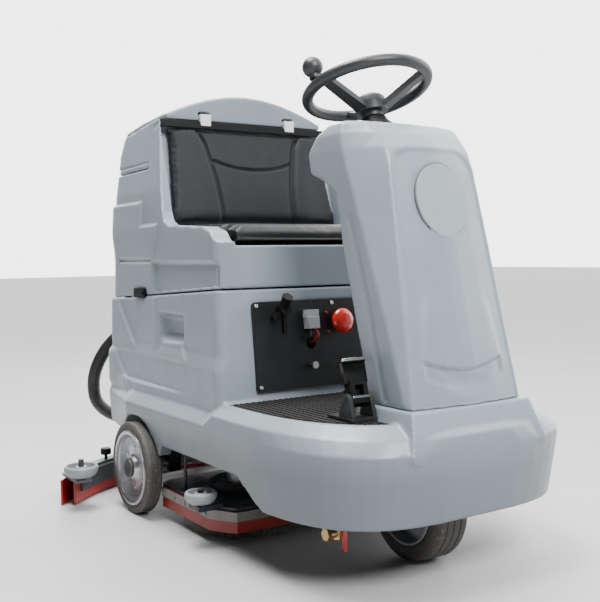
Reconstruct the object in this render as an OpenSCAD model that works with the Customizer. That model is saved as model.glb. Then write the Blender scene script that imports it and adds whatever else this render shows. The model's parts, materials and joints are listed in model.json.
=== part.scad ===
// Ride-on floor scrubber-dryer: two disc brushes, a curved rear squeegee and a driver's seat on the tank.
// Lengths are in millimetres and angles in degrees. +X is forward, +Y is the driver's left, +Z is up.
// Modules are drawn from the rear axle line; place() moves them to the middle of the footprint.

/* [Body] */
// Half width of the body at its widest, low on the skirt
body_half_w = 385; // [370:1:395]
// Distance from the rear axle forward to the tip of the bumper
nose_x = 975; // [965:1:985]
// Distance from the rear axle back to the rear wall
rear_x = 360; // [350:1:370]
// Height of the driver's platform
platform_z = 357; // [350:1:362]
// Rear height of the seam between body and recovery tank
seam_z = 583; // [575:1:590]

/* [Tank and seat] */
// Height of the tank's top edge at the lid hinge
tank_top_z = 1105; // [1095:1:1115]
// Rise of the lid's arch above its front corners
lid_arch = 68; // [50:1:80]
// Height of the seat box's front lip
seat_lip_z = 745; // [735:1:750]

/* [Steering] */
// Radius of the steering wheel's rim, to the tube's centre line
wheel_r = 149; // [135:1:165]
// Diameter of the steering wheel's tube
wheel_tube_d = 28; // [22:1:34]
// Tilt of the steering wheel towards the driver
wheel_tilt = 17.6; // [12:0.2:22]

/* [Running gear] */
// Radius of the rear wheels
rear_wheel_r = 127; // [120:1:130]
// Radius of the driven front wheel
drive_wheel_r = 125; // [118:1:128]
// Distance from the rear axle forward to the steering axis
wheelbase = 750; // [740:1:760]

/* [Scrubbing] */
// Radius of each disc brush
brush_r = 168; // [155:1:169]
// Height of the curved squeegee's blades
blade_h = 58; // [50:1:60]
// Radius of the squeegee's arc
squeegee_r = 722; // [700:1:750]

/* [Hidden] */
$fn = 64;
eps = 0.5;

// Middle of the footprint, ahead of the rear axle
middle_x = 213.4;

// Heights of the side's two sloping bands and of the bumper's crease
skirt_low_z = 146;
crease_z = 285;
band_low_z = 302;
band_high_z = 333;
waist_low_z = 432;
waist_high_z = 470;
deck_sill_z = 209;
seat_front_x = 412;
seam_slope = atan(47 / 770);

// Colours
shell_grey = [0.62, 0.68, 0.73];
soft_black = [0.16, 0.17, 0.18];
steel = [0.55, 0.56, 0.58];
dark_steel = [0.25, 0.26, 0.27];
skirt_red = [0.72, 0.14, 0.07];
roller_grey = [0.66, 0.69, 0.73];

// ---------- helpers ----------

module place() {
    translate([-middle_x, 0, 0]) children();
}

module both_sides() {
    children();
    mirror([0, 1, 0]) children();
}

// A closed skin through a stack of rings that all have the same number of points
module loft(rings) {
    n = len(rings[0]);
    m = len(rings);
    polyhedron(
        points = [for (r = rings) each r],
        faces = concat(
            [[for (i = [0:n - 1]) i]],
            [for (k = [0:m - 2], i = [0:n - 1]) each [
                [k * n + i, (k + 1) * n + i, (k + 1) * n + (i + 1) % n],
                [k * n + i, (k + 1) * n + (i + 1) % n, k * n + (i + 1) % n]
            ]],
            [[for (i = [n - 1:-1:0]) (m - 1) * n + i]]
        ),
        convexity = 6);
}

function other_side(half) =
    concat(half, [for (i = [len(half) - 1:-1:0]) [half[i][0], -half[i][1], half[i][2]]]);

function mix(a, b, t) = a + (b - a) * t;

// Quarter arc in plan about a corner centre, from angle a0 to a1
function arc(cx, cy, r, a0, a1, z, steps = 6) =
    [for (i = [0:steps]) let (a = mix(a0, a1, i / steps)) [cx + r * cos(a), cy + r * sin(a), z]];

// Plan ring of the skirt: rounded rear corners, straight sides and a blunt round nose
nose_from = 500;
nose_power = 3.5;
top_nose_power = 2.8;
function skirt_ring(z, w_back, w_mid, w_front, tip, power = nose_power, corner = 60) =
    let (
        back = arc(-rear_x + corner, -w_back + corner, corner, 180, 270, z),
        nose = [for (i = [0:14]) let (a = i * 6)
            [nose_from + (tip - nose_from) * pow(sin(a), 2 / power),
             -w_front * pow(cos(a), 2 / power), z]]
    )
    other_side(concat(back, [[-70, -w_mid, z], [400, -w_mid, z], [446, -w_front, z]], nose));

// Plan ring of the seat box and of the tank: a tapered rectangle with round corners
function box_ring(z, back, front, w_back, w_front, r_back = 60, r_front = 26) =
    other_side(concat(
        arc(-back + r_back, -w_back + r_back, r_back, 180, 270, z),
        arc(front - r_front, -w_front + r_front, r_front, 270, 360, z)));

// Everything above the seam's plane, which rises towards the front
module above_seam(lift = 0) {
    translate([-rear_x, 0, seam_z + lift])
        rotate([0, -seam_slope, 0]) translate([-200, -600, 0]) cube([1400, 1200, 900]);
}

// A side profile given as X and Z points, extruded across the machine
module across(points, width) {
    translate([0, width / 2, 0]) rotate([90, 0, 0]) linear_extrude(width) polygon(points);
}

module rod_y(r, y0, y1) {
    translate([0, y0, 0]) rotate([-90, 0, 0]) cylinder(r = r, h = y1 - y0);
}

// ---------- body ----------

platform_w = 347;
module skirt_shell() {
    loft([
        skirt_ring(skirt_low_z, body_half_w - 58, body_half_w - 12, body_half_w - 12, nose_x - 22),
        skirt_ring(crease_z, body_half_w - 48, body_half_w, body_half_w, nose_x),
        skirt_ring(band_low_z, body_half_w - 48, body_half_w, body_half_w, nose_x - 1),
        skirt_ring(band_high_z, body_half_w - 62, body_half_w - 30, body_half_w - 3, nose_x - 6, top_nose_power),
        skirt_ring(platform_z, body_half_w - 62, body_half_w - 30, platform_w, nose_x - 45, top_nose_power)
    ]);
}

module seat_box_shell() {
    loft([
        box_ring(platform_z - 40, rear_x, 446, 329, 357),
        box_ring(waist_low_z, rear_x, 436, 328, 357),
        box_ring(waist_high_z, rear_x, 432, 315, 345),
        box_ring(660, rear_x, seat_front_x - 3, 312, 344)
    ]);
}

// Plinth under the steering fairing, level with the bumper's front face
plinth_z = 385;
plinth_w = 174;
module plinth() {
    hull() {
        translate([742, -plinth_w, platform_z - 40]) cube([40, 2 * plinth_w, 68]);
        translate([880, -plinth_w, platform_z - 40]) cube([56, 2 * plinth_w, 68]);
        translate([880, -plinth_w - 24, crease_z]) cube([88, 2 * plinth_w + 48, 10]);
    }
}

// Space under the body for the brush deck, the wheels and the steered drive unit
module underside_cut() {
    across([[-500, 60], [-500, 205], [98, 205], [128, 176], [146, deck_sill_z], [557, deck_sill_z],
            [604, 176], [654, skirt_low_z], [700, 130], [1100, 130], [1100, 60]], 1000);
    translate([40, -340, 150]) cube([520, 680, 140]);
    translate([-300, -300, 150]) cube([500, 600, 140]);
    both_sides() translate([-10, 0, rear_wheel_r]) rod_y(144, 318, 460);
    intersection() {
        translate([0, 0, 100]) linear_extrude(226) polygon([
            for (p = skirt_ring(0, 300, body_half_w - 42, body_half_w - 42, nose_x - 50)) [p[0], p[1]]]);
        translate([566, -400, 90]) cube([500, 800, 300]);
    }
    translate([530, -300, 100]) cube([60, 600, 205]);
}

battery_floor_z = 308;
module battery_bay() {
    translate([-270, -255, battery_floor_z]) cube([640, 510, 500]);
}

// The side wall leans in towards the rear: local X runs back along it and local Y out of it
wall_turn = atan(0.042);
module on_side_wall() {
    both_sides() translate([seat_front_x, -345, 0]) rotate([0, 0, -wall_turn]) children();
}

module grip_pocket() {
    on_side_wall() hull() {
        translate([-378, -12, 478]) cube([190, 2, 92]);
        translate([-346, 20, 502]) cube([132, 2, 46]);
    }
}

module lower_body() {
    color(shell_grey) difference() {
        union() {
            skirt_shell();
            seat_box_shell();
            plinth();
        }
        underside_cut();
        battery_bay();
        above_seam();
        grip_pocket();
        mat_recess();
        translate([376, -226, 392]) cube([90, 330, 200]);
        clip_pocket();
    }
}

// Recess in both shells for the clip over the seam
clip_x = -126;
clip_w = 74;
module clip_pocket() {
    both_sides() translate([clip_x - 2, -345, seam_z + 12]) cube([clip_w + 4, 27.5, 30]);
}

mat_t = 8;
module mat_outline() {
    difference() {
        polygon([for (p = skirt_ring(0, 300, platform_w - 10, platform_w - 10, nose_x - 62, top_nose_power)) [p[0], p[1]]]);
        translate([-500, -500]) square([500 + 450, 1000]);
        translate([738, -plinth_w - 8]) square([400, 2 * plinth_w + 16]);
    }
}
module mat_recess() {
    translate([0, 0, platform_z - mat_t]) linear_extrude(60) mat_outline();
}

rib_pitch = 16;
module floor_mat() {
    color([0.12, 0.11, 0.1]) {
        translate([0, 0, platform_z - mat_t + 0.3]) linear_extrude(mat_t - 2.3) offset(delta = -1) mat_outline();
        translate([0, 0, platform_z - 2]) linear_extrude(2) intersection() {
            offset(delta = -6) mat_outline();
            for (y = [-21:21]) translate([440, y * rib_pitch - 5]) square([480, 10]);
        }
    }
}

// ---------- chassis ----------

rail_w = 36;
rail_y = 262;
rail_z = 245;

module chassis_frame() {
    color(dark_steel) {
        both_sides() translate([-280, -rail_y - rail_w, rail_z]) cube([835, rail_w, 40]);
        both_sides() translate([-30, -rail_y - rail_w, rear_wheel_r - 22]) difference() {
            cube([60, rail_w, 122]);
            translate([30, -5, 22]) rotate([-90, 0, 0]) cylinder(r = 15.05, h = 50);
        }
        for (x = [-280, 30, 515]) translate([x, -rail_y - eps, rail_z]) cube([40, 2 * (rail_y + eps), 40]);
        difference() {
            union() {
                translate([540, -190, 291]) cube([200, 380, 10]);
                translate([wheelbase, 0, 291]) cylinder(r = 168, h = 10);
                translate([535, -190, rail_z]) cube([20, 380, 50]);
            }
            translate([wheelbase, 0, 280]) cylinder(r = 40.05, h = 30);
        }
        translate([700, -178, 130]) cube([30, 8, 165]);
        difference() {
            translate([lift_x - 12, -50, lift_z - 18]) cube([24, 100, rail_z - lift_z + 19]);
            translate([lift_x, 0, lift_z]) rod_y(8.05, -60, 60);
        }
    }
}

module rear_axle() {
    color(steel) translate([0, 0, rear_wheel_r]) {
        rod_y(15, -rear_y - 26, rear_y + 26);
        both_sides() rod_y(22, -338, -rail_y - rail_w - 0.3);
    }
}

module batteries() {
    color([0.1, 0.1, 0.11]) for (x = [-262, 55], y = [-235, 5]) {
        translate([x, y, battery_floor_z]) {
            cube([300, 230, 215]);
            translate([10, 10, 215]) cube([280, 210, 14]);
            for (t = [40, 260]) translate([t, 115, 229]) cylinder(r = 9, h = 14);
        }
    }
}

module drive_controller() {
    color([0.3, 0.31, 0.33]) translate([600, -60, 303]) {
        cube([70, 120, 20]);
    }
}

// ---------- steering fairing and column ----------

// One ring: rear wall, side wall, side edge, front facet edge and the slightly convex nose
function fairing_ring(z, x_rear, x_side, x_facet, x_nose, w_rear, w_side, w_facet) = other_side([
    [x_rear, -w_rear * 0.5, z], [x_rear + 4, -w_rear, z], [x_rear + 26, -w_side, z],
    [x_side, -w_side, z], [mix(x_side, x_facet, 0.5), -mix(w_side, w_facet, 0.5), z],
    [x_facet, -w_facet, z], [mix(x_facet, x_nose, 0.65), -w_facet * 0.55, z], [x_nose, -w_facet * 0.12, z]
]);

module fairing_solid() {
    loft([
        fairing_ring(plinth_z + 0.3, 752, 905, 921, 934, 140, 165, 158),
        fairing_ring(495, 735, 872, 898, 916, 142, 170, 150),
        fairing_ring(616, 706, 832, 872, 893, 145, 174, 142),
        fairing_ring(740, 678, 790, 846, 867, 148, 179, 134),
        fairing_ring(845, 668, 754, 823, 843, 152, 183, 127),
        fairing_ring(880, 622, 742, 815, 835, 156, 185, 125),
        fairing_ring(902, 568, 734, 810, 829, 160, 186, 124),
        fairing_ring(948, 558, 718, 792, 812, 160, 186, 124),
        fairing_ring(985, 585, 706, 760, 778, 158, 183, 124),
        fairing_ring(1008, 618, 700, 734, 748, 150, 172, 124),
        fairing_ring(1017, 645, 690, 706, 714, 132, 152, 112)
    ]);
}
module steering_fairing() {
    color(shell_grey) difference() {
        fairing_solid();
        on_wheel() translate([0, 0, -245]) cylinder(r = 24.4, h = 240);
        crescent_recess();
        badge_seat(6.3);
    }
}

// Front face's lean, used by what sits on it
front_lean = atan(118 / 534);
badge_z = 832;
module on_front_face(z, out = 0) {
    x = 934 - (z - plinth_z) * tan(front_lean);
    translate([x, 0, z]) rotate([0, 90 - front_lean, 0]) translate([0, 0, out]) children();
}
module badge_seat(depth) {
    on_front_face(badge_z, badge_out - depth) linear_extrude(60) badge_outline();
}
badge_w = 150;
badge_h = 166;
badge_out = 6;
module badge_outline(inset = 0) {
    polygon([for (a = [0:7.5:352.5]) [(badge_h / 2 - inset) * cos(a), (badge_w / 2 - inset) * sin(a)]]);
}
module fairing_badge() {
    color([0.66, 0.72, 0.76]) on_front_face(badge_z, badge_out - 6) linear_extrude(6) badge_outline(0.4);
}
module crescent_recess() {
    on_front_face(450, -1) linear_extrude(60) difference() {
        translate([-51, 0]) circle(r = 95);
        translate([-106, 0]) circle(r = 108);
    }
}

// Steering wheel's centre, and its tilted frame
hub_x = 571;
hub_z = 1118;
module on_wheel() {
    translate([hub_x, 0, hub_z]) rotate([0, -wheel_tilt, 0]) children();
}

module steering_column() {
    color(dark_steel) on_wheel() difference() {
        union() {
            translate([0, 0, -230]) cylinder(r = 17, h = 150);
            translate([0, 0, -230]) cylinder(r = 24, h = 60);
        }
        translate([0, 0, -240]) cylinder(r = 9.05, h = 200);
    }
}

module column_boot() {
    color(soft_black) difference() {
        on_wheel() rotate_extrude()
            polygon([[17.5, -150], [66, -150], [66, -134], [52, -112], [36, -92], [30, -78], [17.5, -78]]);
        fairing_solid();
    }
}

module steering_wheel() {
    color(soft_black) on_wheel() {
        rotate_extrude($fn = 96) translate([wheel_r, 0]) circle(d = wheel_tube_d, $fn = 24);
        translate([0, 0, -64]) cylinder(r = 40, h = 22);
        translate([0, 0, -76]) cylinder(r = 26, h = 14);
        translate([0, 0, -240]) cylinder(r = 9, h = 166);
        for (a = [40, 160, 280]) rotate([0, 0, a]) hull() {
            translate([30, -17, -60]) cube([6, 34, 12]);
            translate([wheel_r - 12, -13, -8]) cube([6, 26, 14]);
        }
        rotate([0, 0, 268]) translate([wheel_r, 0, 6]) cylinder(r = 7, h = 26);
    }
}

module hub_cap() {
    color([0.1, 0.1, 0.11]) on_wheel() translate([0, 0, -41.7]) rotate_extrude()
        polygon(concat([[0, 0], [40, 0], [38, 12]], [for (a = [10:10:80]) [36 * cos(a), 12 + 14 * sin(a)]], [[0, 26]]));
}

module spinner_knob() {
    color([0.08, 0.08, 0.09]) on_wheel() rotate([0, 0, 268]) translate([wheel_r, 0, 46]) difference() {
        union() {
            sphere(r = 25, $fn = 48);
            translate([0, 0, -30]) cylinder(r = 13, h = 16);
        }
        translate([0, 0, -40]) cylinder(r = 7.05, h = 30);
    }
}

// ---------- control panel on the seat box ----------

panel_lean = atan(20 / 215);
panel_x = 450.7;
panel_y = -253;
panel_low_z = 377;
panel_w = 368;
panel_h = 223;
// Panel frame: local X runs to the left across the machine, local Y up the panel, local Z forward
module on_panel(y, z, out = 0) {
    translate([panel_x, 0, panel_low_z]) rotate([0, -panel_lean, 0])
        translate([out, y, z]) rotate([90, 0, 90]) children();
}

module control_panel() {
    color([0.07, 0.07, 0.075]) on_panel(panel_y, 0, -8) difference() {
        linear_extrude(8) hull() for (x = [8, panel_w - 8], y = [8, panel_h - 8]) translate([x, y]) circle(r = 8, $fn = 32);
        translate([stop_y, stop_z, -1]) cylinder(r = 11.05, h = 12);
        translate([breaker_y, breaker_z, -1]) cylinder(r = 5.05, h = 12);
        translate([lever_y, lever_z, -1]) cylinder(r = 9.05, h = 12);
        translate([grommet_y, grommet_z, -1]) cylinder(r = 14, h = 12);
    }
}

// Places of the controls, from the panel's lower outer corner
lever_y = 81;
lever_z = 203;
socket_y = 166;
socket_z = 173;
grommet_y = 166;
grommet_z = 111;
stop_y = 255;
stop_z = 165;
breaker_y = 165;
breaker_z = 56;

module panel_screws() {
    color(steel) for (x = [9, 237, panel_w - 9], y = [11, panel_h - 10])
        if (x < 100 || x > 300 || y > 100) on_panel(panel_y + x, y, 0.3) difference() {
            cylinder(r = 5, h = 2.5);
            translate([-4, -0.8, 1.5]) cube([8, 1.6, 2]);
        }
}

module charge_socket() {
    color([0.55, 0.56, 0.58]) on_panel(panel_y + socket_y, socket_z, 0.3) {
        translate([-19, -24, 0]) cube([38, 48, 16]);
        translate([-15, -24, 16 - eps]) cube([30, 30, 8]);
        translate([-22, 4, 2]) cube([44, 12, 10]);
    }
}

module wire(side) {
    pts = [for (i = [0:8]) let (t = i / 8)
        [side * (7 + 5 * sin(180 * t)), mix(socket_z - 25.5, grommet_z + 2, t), mix(9, -14, t * t) + 12 * sin(180 * t)]];
    tube(pts, 4, 8);
}
module charge_leads() {
    on_panel(panel_y + socket_y, 0, 0) {
        color("firebrick") wire(1);
        color([0.08, 0.08, 0.08]) wire(-1);
    }
}

// Tube along a list of points: each ring stands square to the mean direction there
function unit(v) = v / norm(v);
function heading(p, i) = unit(p[min(i + 1, len(p) - 1)] - p[max(i - 1, 0)]);
function tube_ring(p, i, r, sides, ref) = let (
        t = heading(p, i),
        u = unit(cross(t, ref)),
        v = cross(t, u)
    ) [for (k = [0:sides - 1]) p[i] + r * (u * cos(k * 360 / sides) - v * sin(k * 360 / sides))];
module tube(p, r, sides, ref = [1, 0.01, 0.02]) {
    loft([for (i = [0:len(p) - 1]) [for (k = [sides - 1:-1:0]) tube_ring(p, i, r, sides, ref)[k]]]);
}

module emergency_stop() {
    color("red") on_panel(panel_y + stop_y, stop_z, 0) {
        translate([0, 0, -20]) cylinder(r = 11, h = 36);
        translate([0, 0, 12]) rotate_extrude() polygon([[0, 0], [27, 0], [31, 4], [32, 11], [28, 18], [18, 23], [0, 25]]);
    }
}

module breaker_button() {
    color([0.85, 0.85, 0.86]) on_panel(panel_y + breaker_y, breaker_z, 0) {
        translate([0, 0, -14]) cylinder(r = 5, h = 26);
        translate([0, 0, 10]) cylinder(r = 9, h = 7);
    }
}

module water_lever() {
    color([0.06, 0.06, 0.06]) on_panel(panel_y + lever_y, lever_z, 0) {
        translate([0, 0, -20]) cylinder(r = 9, h = 30);
        translate([0, 0, 2]) cylinder(r = 15, h = 22);
        translate([0, 4, 14]) rotate([-48, 0, 0]) cylinder(r1 = 11, r2 = 14, h = 34);
        translate([-5, -62, 8]) cube([10, 62, 9]);
        translate([-30, -20, 8]) cylinder(r = 7, h = 12);
        translate([-30, -24, 10]) rotate([0, 0, 30]) cube([26, 8, 8]);
    }
}

// ---------- pedal ----------

pedal_x = 762;
pedal_y = -216;
module pedal_bracket() {
    color([0.12, 0.12, 0.13]) translate([pedal_x, pedal_y, platform_z + 0.3]) {
        translate([-22, -34, 0]) cube([92, 68, 8]);
        for (y = [-33, 23]) translate([20, y, 4]) difference() {
            hull() {
                cube([48, 10, 10]);
                translate([24, 0, 42]) rotate([-90, 0, 0]) cylinder(r = 14, h = 10, $fn = 32);
            }
            translate([24, -1, 42]) rotate([-90, 0, 0]) cylinder(r = 6.05, h = 12);
        }
    }
}

module accelerator_pedal() {
    color([0.05, 0.05, 0.055]) translate([pedal_x + 44, pedal_y, platform_z + 46.3]) {
        rod_y(6, -33, 33);
        rotate([0, -14, 0]) difference() {
            union() {
                translate([-12, -22, -10]) cube([24, 44, 50]);
                translate([-26, -22, -14]) rotate([0, 14, 0]) cube([12, 44, 38]);
                translate([-10, -31, 34]) cube([14, 62, 50]);
                translate([-26, -31, 80]) cube([34, 62, 8]);
            }
            for (z = [44, 56, 68]) translate([-30, -24, z]) cube([24, 48, 5]);
            translate([-4, -11, 8]) cube([30, 22, 22]);
        }
    }
}

// ---------- recovery tank, seat and lid ----------

// Half width of the tank at X for the height's inset
function tank_half_w(x, inset) = 345 - 0.042 * (seat_front_x - 2 - x) - inset;
function tank_ring(z, inset, back, front) =
    box_ring(z, back, front, tank_half_w(-back, inset), tank_half_w(front, inset));

module tank_skin(shrink = 0) {
    loft([
        tank_ring(540, shrink, rear_x - shrink, seat_front_x - shrink),
        tank_ring(780, 5 + shrink, rear_x - shrink, seat_front_x - 2 - shrink),
        tank_ring(900, 12 + shrink, rear_x - 3 - shrink, seat_front_x - 2 - shrink),
        tank_ring(tank_top_z - 80, 27 + shrink, rear_x - 10 - shrink, seat_front_x - shrink),
        tank_ring(tank_top_z - 20, 34 + shrink, rear_x - 40 - shrink, seat_front_x - shrink),
        tank_ring(tank_top_z + 60, 40 + shrink, rear_x - 90 - shrink, seat_front_x - shrink)
    ]);
}

lid_slope = atan(33 / 324);
// Outline seen from the side: rear wall, sloping top, seat back, armrest and seat box
tank_profile = [
    [-400, 500], [-400, tank_top_z - 33 - 5], [-24, tank_top_z], [-8, tank_top_z - 6],
    [62, 838], [78, 812], [104, 800], [330, 788], [372, 776], [seat_front_x - 14, seat_lip_z + 6],
    [500, seat_lip_z], [500, 500]];
// The hollow behind the armrests that holds the seat and its back
seat_well = [
    [-30, tank_top_z + 40], [-30, tank_top_z - 17], [-44, tank_top_z - 19], [18, 822], [20, 700], [seat_front_x - 32, 700],
    [seat_front_x - 30, seat_lip_z - 6], [500, seat_lip_z - 2], [500, 1300], [0, 1300]];

module recovery_tank() {
    color(shell_grey) difference() {
        union() {
            intersection() {
                tank_skin();
                across(tank_profile, 1000);
            }
            for (y = hinge_at) translate([-rear_x - 14, y, seam_z + 12]) {
                rod_y(9, 18.5, 41.5);
                translate([0, 18.5, -9]) cube([20, 23, 18]);
            }
        }
        for (y = hinge_at) translate([-rear_x - 14, y, seam_z + 12]) rod_y(5.05, 10, 50);
        translate([-rear_x, 0, seam_z + 4]) rotate([0, -seam_slope, 0])
            translate([-200, -600, -300]) cube([1400, 1200, 300]);
        across(seat_well, 2 * 288);
        tank_hollow();
        clip_pocket();
    }
}

// Water space behind the seat back, open at the top under the lid
module tank_hollow() {
    intersection() {
        tank_skin(14);
        across([[-340, 640], [-340, tank_top_z - 20], [-360, tank_top_z + 60], [-66, tank_top_z + 60],
                [-66, tank_top_z - 30], [0, 805], [0, 640]], 900);
    }
}

module tank_clips() {
    color([0.05, 0.05, 0.05]) both_sides() translate([clip_x, -329, seam_z + 14]) {
        cube([clip_w, 11.2, 26]);
        translate([8, -3, 8]) cube([clip_w - 16, 6, 12]);
    }
}

hinge_at = [-250, 190];
module tank_hinge() {
    color(dark_steel) for (y = hinge_at) translate([-rear_x - 14, y, seam_z + 12]) {
        translate([-6, 0, -60]) cube([19.7, 60, 40]);
        for (end = [0, 42]) {
            translate([-6, end, -24]) cube([12, 18, 24]);
            rod_y(9, end, end + 18);
        }
        rod_y(5, 0, 60);
    }
}

module seat_cushion() {
    color([0.09, 0.09, 0.1]) across([
        [44, 700.3], [seat_front_x - 34, 700.3], [seat_front_x - 32, seat_lip_z + 2], [seat_front_x - 6, seat_lip_z + 2],
        [seat_front_x + 2, seat_lip_z + 14], [seat_front_x - 2, seat_lip_z + 32], [seat_front_x - 20, seat_lip_z + 40],
        [300, 792], [70, 796], [50, 790]], 2 * 284);
}

module seat_back() {
    color([0.2, 0.2, 0.22]) intersection() {
        across([[25, 800], [44, 798], [48, 812], [44, 840], [-16, tank_top_z - 22], [-24, tank_top_z - 19.5],
                [-42, tank_top_z - 19.5]], 2 * 286);
        loft([
            [[-60, -284, 790], [120, -284, 790], [120, 284, 790], [-60, 284, 790]],
            [[-60, -262, tank_top_z], [120, -262, tank_top_z], [120, 262, tank_top_z], [-60, 262, tank_top_z]]
        ]);
    }
}

module vacuum_motor() {
    color([0.35, 0.36, 0.38]) translate([-180, 120, 640.3]) {
        cylinder(r = 70, h = 90);
        cylinder(r = 52, h = 150);
    }
}

module float_basket() {
    color([0.8, 0.8, 0.78]) translate([-190, -110, 640.3]) difference() {
        cylinder(r = 62, h = 190);
        translate([0, 0, 6]) cylinder(r = 57, h = 190);
        for (a = [0:45:315], z = [30, 80, 130]) rotate([0, 0, a]) translate([40, -8, z]) cube([40, 16, 30]);
    }
}

// Lid rings stand square to X: flat bottom on the tank, arched top
lid_front_w = 266;
function lid_ring(x, w, edge_h, arch_h, drop) = let (
        base = tank_top_z + 1 + (x + 24) * tan(lid_slope)
    ) concat(
        [[x, w, base]],
        [for (i = [0:16]) let (t = i / 8 - 1) [x, -w * t, base + edge_h + arch_h * pow(cos(t * 90), 0.9) - drop]],
        [[x, -w, base]]
    );
hinge_y = 144;
hinge_w = 33;
module tank_lid() {
    color(shell_grey) difference() {
        loft([
            lid_ring(-352, 236, 6, 10, 0),
            lid_ring(-340, 252, 14, 22, 0),
            lid_ring(-300, 262, 20, 38, 0),
            lid_ring(-180, lid_front_w, 20, 55, 0),
            lid_ring(-60, lid_front_w, 17, lid_arch - 2, 0),
            lid_ring(-22, lid_front_w, 14, lid_arch, 0),
            lid_ring(-14, lid_front_w - 4, 12, lid_arch - 4, 0)
        ]);
        both_sides() translate([-48, -hinge_y - hinge_w / 2 - 3, tank_top_z - 20]) cube([66, hinge_w + 6, 48]);
        translate([-300, -200, tank_top_z - 60]) cube([240, 400, 58]);
    }
    color(steel) both_sides() translate([lid_axis_x, 0, lid_axis_z])
        rod_y(4, -hinge_y - hinge_w / 2 - 8, -hinge_y + hinge_w / 2 + 8);
}

lid_axis_x = -16;
lid_axis_z = tank_top_z + 9;
module hinge_blocks() {
    color([0.92, 0.92, 0.9]) both_sides() translate([0, -hinge_y - hinge_w / 2, 0]) difference() {
        union() {
            translate([-44, 0, tank_top_z + 0.3]) cube([30, hinge_w, 6]);
            translate([lid_axis_x - 12, 0, lid_axis_z - 8.7]) cube([24, hinge_w, 19]);
            translate([-27, 0, tank_top_z - 14]) cube([23, hinge_w, 16]);
        }
        translate([lid_axis_x, 0, lid_axis_z]) rod_y(4.05, -5, hinge_w + 5);
    }
}

// ---------- running gear ----------

module tyre(r, rim_r, w) {
    rotate([90, 0, 0]) rotate_extrude($fn = 96) translate([0, -w / 2]) polygon([
        [rim_r, 0], [r - 16, 0], [r - 4, 5], [r, 14], [r, w - 14], [r - 4, w - 5], [r - 16, w], [rim_r, w]]);
}

rear_w = 44;
rear_rim_r = 104;
module rear_tyre(y) {
    color([0.13, 0.12, 0.11]) translate([0, y, rear_wheel_r]) tyre(rear_wheel_r, rear_rim_r, rear_w);
}
// Dished rim: deepest between hub and flange on its outer side, which faces -Y
module rear_rim(y, out) {
    color(roller_grey) translate([0, y, rear_wheel_r]) mirror([0, out > 0 ? 1 : 0, 0]) rotate([90, 0, 0])
        rotate_extrude($fn = 96) polygon([
            [15.05, -20], [30, -20], [34, -4], [80, -4], [88, -rear_w / 2], [rear_rim_r, -rear_w / 2],
            [rear_rim_r, rear_w / 2], [92, rear_w / 2 - 1], [84, 14], [60, 6], [36, 8], [30, 20], [15.05, 22]]);
}
rear_y = 384;
module rear_tyre_right() { rear_tyre(-rear_y); }
module rear_tyre_left() { rear_tyre(rear_y); }
module rear_rim_right() { rear_rim(-rear_y, -1); }
module rear_rim_left() { rear_rim(rear_y, 1); }

drive_w = 92;
module drive_tyre() {
    color([0.06, 0.06, 0.06]) translate([wheelbase, 0, drive_wheel_r]) tyre(drive_wheel_r, 88, drive_w);
}
module drive_hub() {
    color(steel) translate([wheelbase, 0, drive_wheel_r]) rotate([90, 0, 0]) rotate_extrude() polygon([
        [15.05, -32], [36, -32], [40, -10], [80, -10], [82, -drive_w / 2], [88, -drive_w / 2],
        [88, drive_w / 2], [82, drive_w / 2], [80, 10], [40, 10], [36, 32], [15.05, 32]]);
}
module drive_fork() {
    color(dark_steel) translate([wheelbase, 0, 0]) {
        translate([0, 0, 262]) cylinder(r = 40, h = 52);
        translate([-45, -70, 256]) cube([90, 140, 12]);
        both_sides() translate([-30, -70, 110]) cube([60, 14, 150]);
        translate([0, 0, drive_wheel_r]) rod_y(15, -70, 70);
    }
}
module drive_motor() {
    color([0.2, 0.2, 0.21]) translate([wheelbase, 0, drive_wheel_r + 30]) rotate([-90, 0, 0]) {
        translate([0, 0, 70.3]) cylinder(r = 46, h = 62);
        translate([0, 0, 132]) cylinder(r = 40, h = 12);
    }
}

// ---------- brush deck ----------

brush_x = 244;
brush_y = 172;
deck_top_z = 96;
deck_half_w = 350;
deck_outline = [
    [60, -240], [76, -322], [96, -deck_half_w], [376, -deck_half_w], [440, -312],
    [440, 312], [376, deck_half_w], [96, deck_half_w], [76, 322], [60, 240]];
roller_x = 372;
roller_y = 376;
bristle_h = 40;

module brush_deck() {
    color([0.17, 0.18, 0.2]) {
        difference() {
            translate([0, 0, 64]) linear_extrude(deck_top_z - 64) polygon(deck_outline);
            translate([0, 0, 50]) linear_extrude(deck_top_z - 62) offset(delta = -12) polygon(deck_outline);
            both_sides() translate([brush_x, brush_y, 60]) cylinder(r = 16, h = 80);
        }
        both_sides() translate([brush_x, -brush_y, deck_top_z]) difference() {
            cylinder(r = 100, h = 14);
            translate([0, 0, -1]) cylinder(r = 56, h = 20);
        }
        for (y = [-60, 48]) translate([150, y, deck_top_z - eps]) cube([210, 12, 44]);
        both_sides() {
            translate([roller_x - 28, -roller_y - 20, deck_top_z - 5]) cube([56, 70, 12]);
            translate([roller_x, -roller_y, deck_top_z]) cylinder(r = 8, h = 44);
            translate([172, -318, deck_top_z - eps]) cylinder(r = 4, h = 142);
        }
    }
}

module brush_motors() {
    color([0.3, 0.31, 0.33]) both_sides() translate([brush_x, -brush_y, 0]) {
        translate([0, 0, deck_top_z + 0.3]) cylinder(r = 54, h = 80);
        translate([0, 0, 64]) cylinder(r = 14, h = deck_top_z - 62);
    }
}

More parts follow.
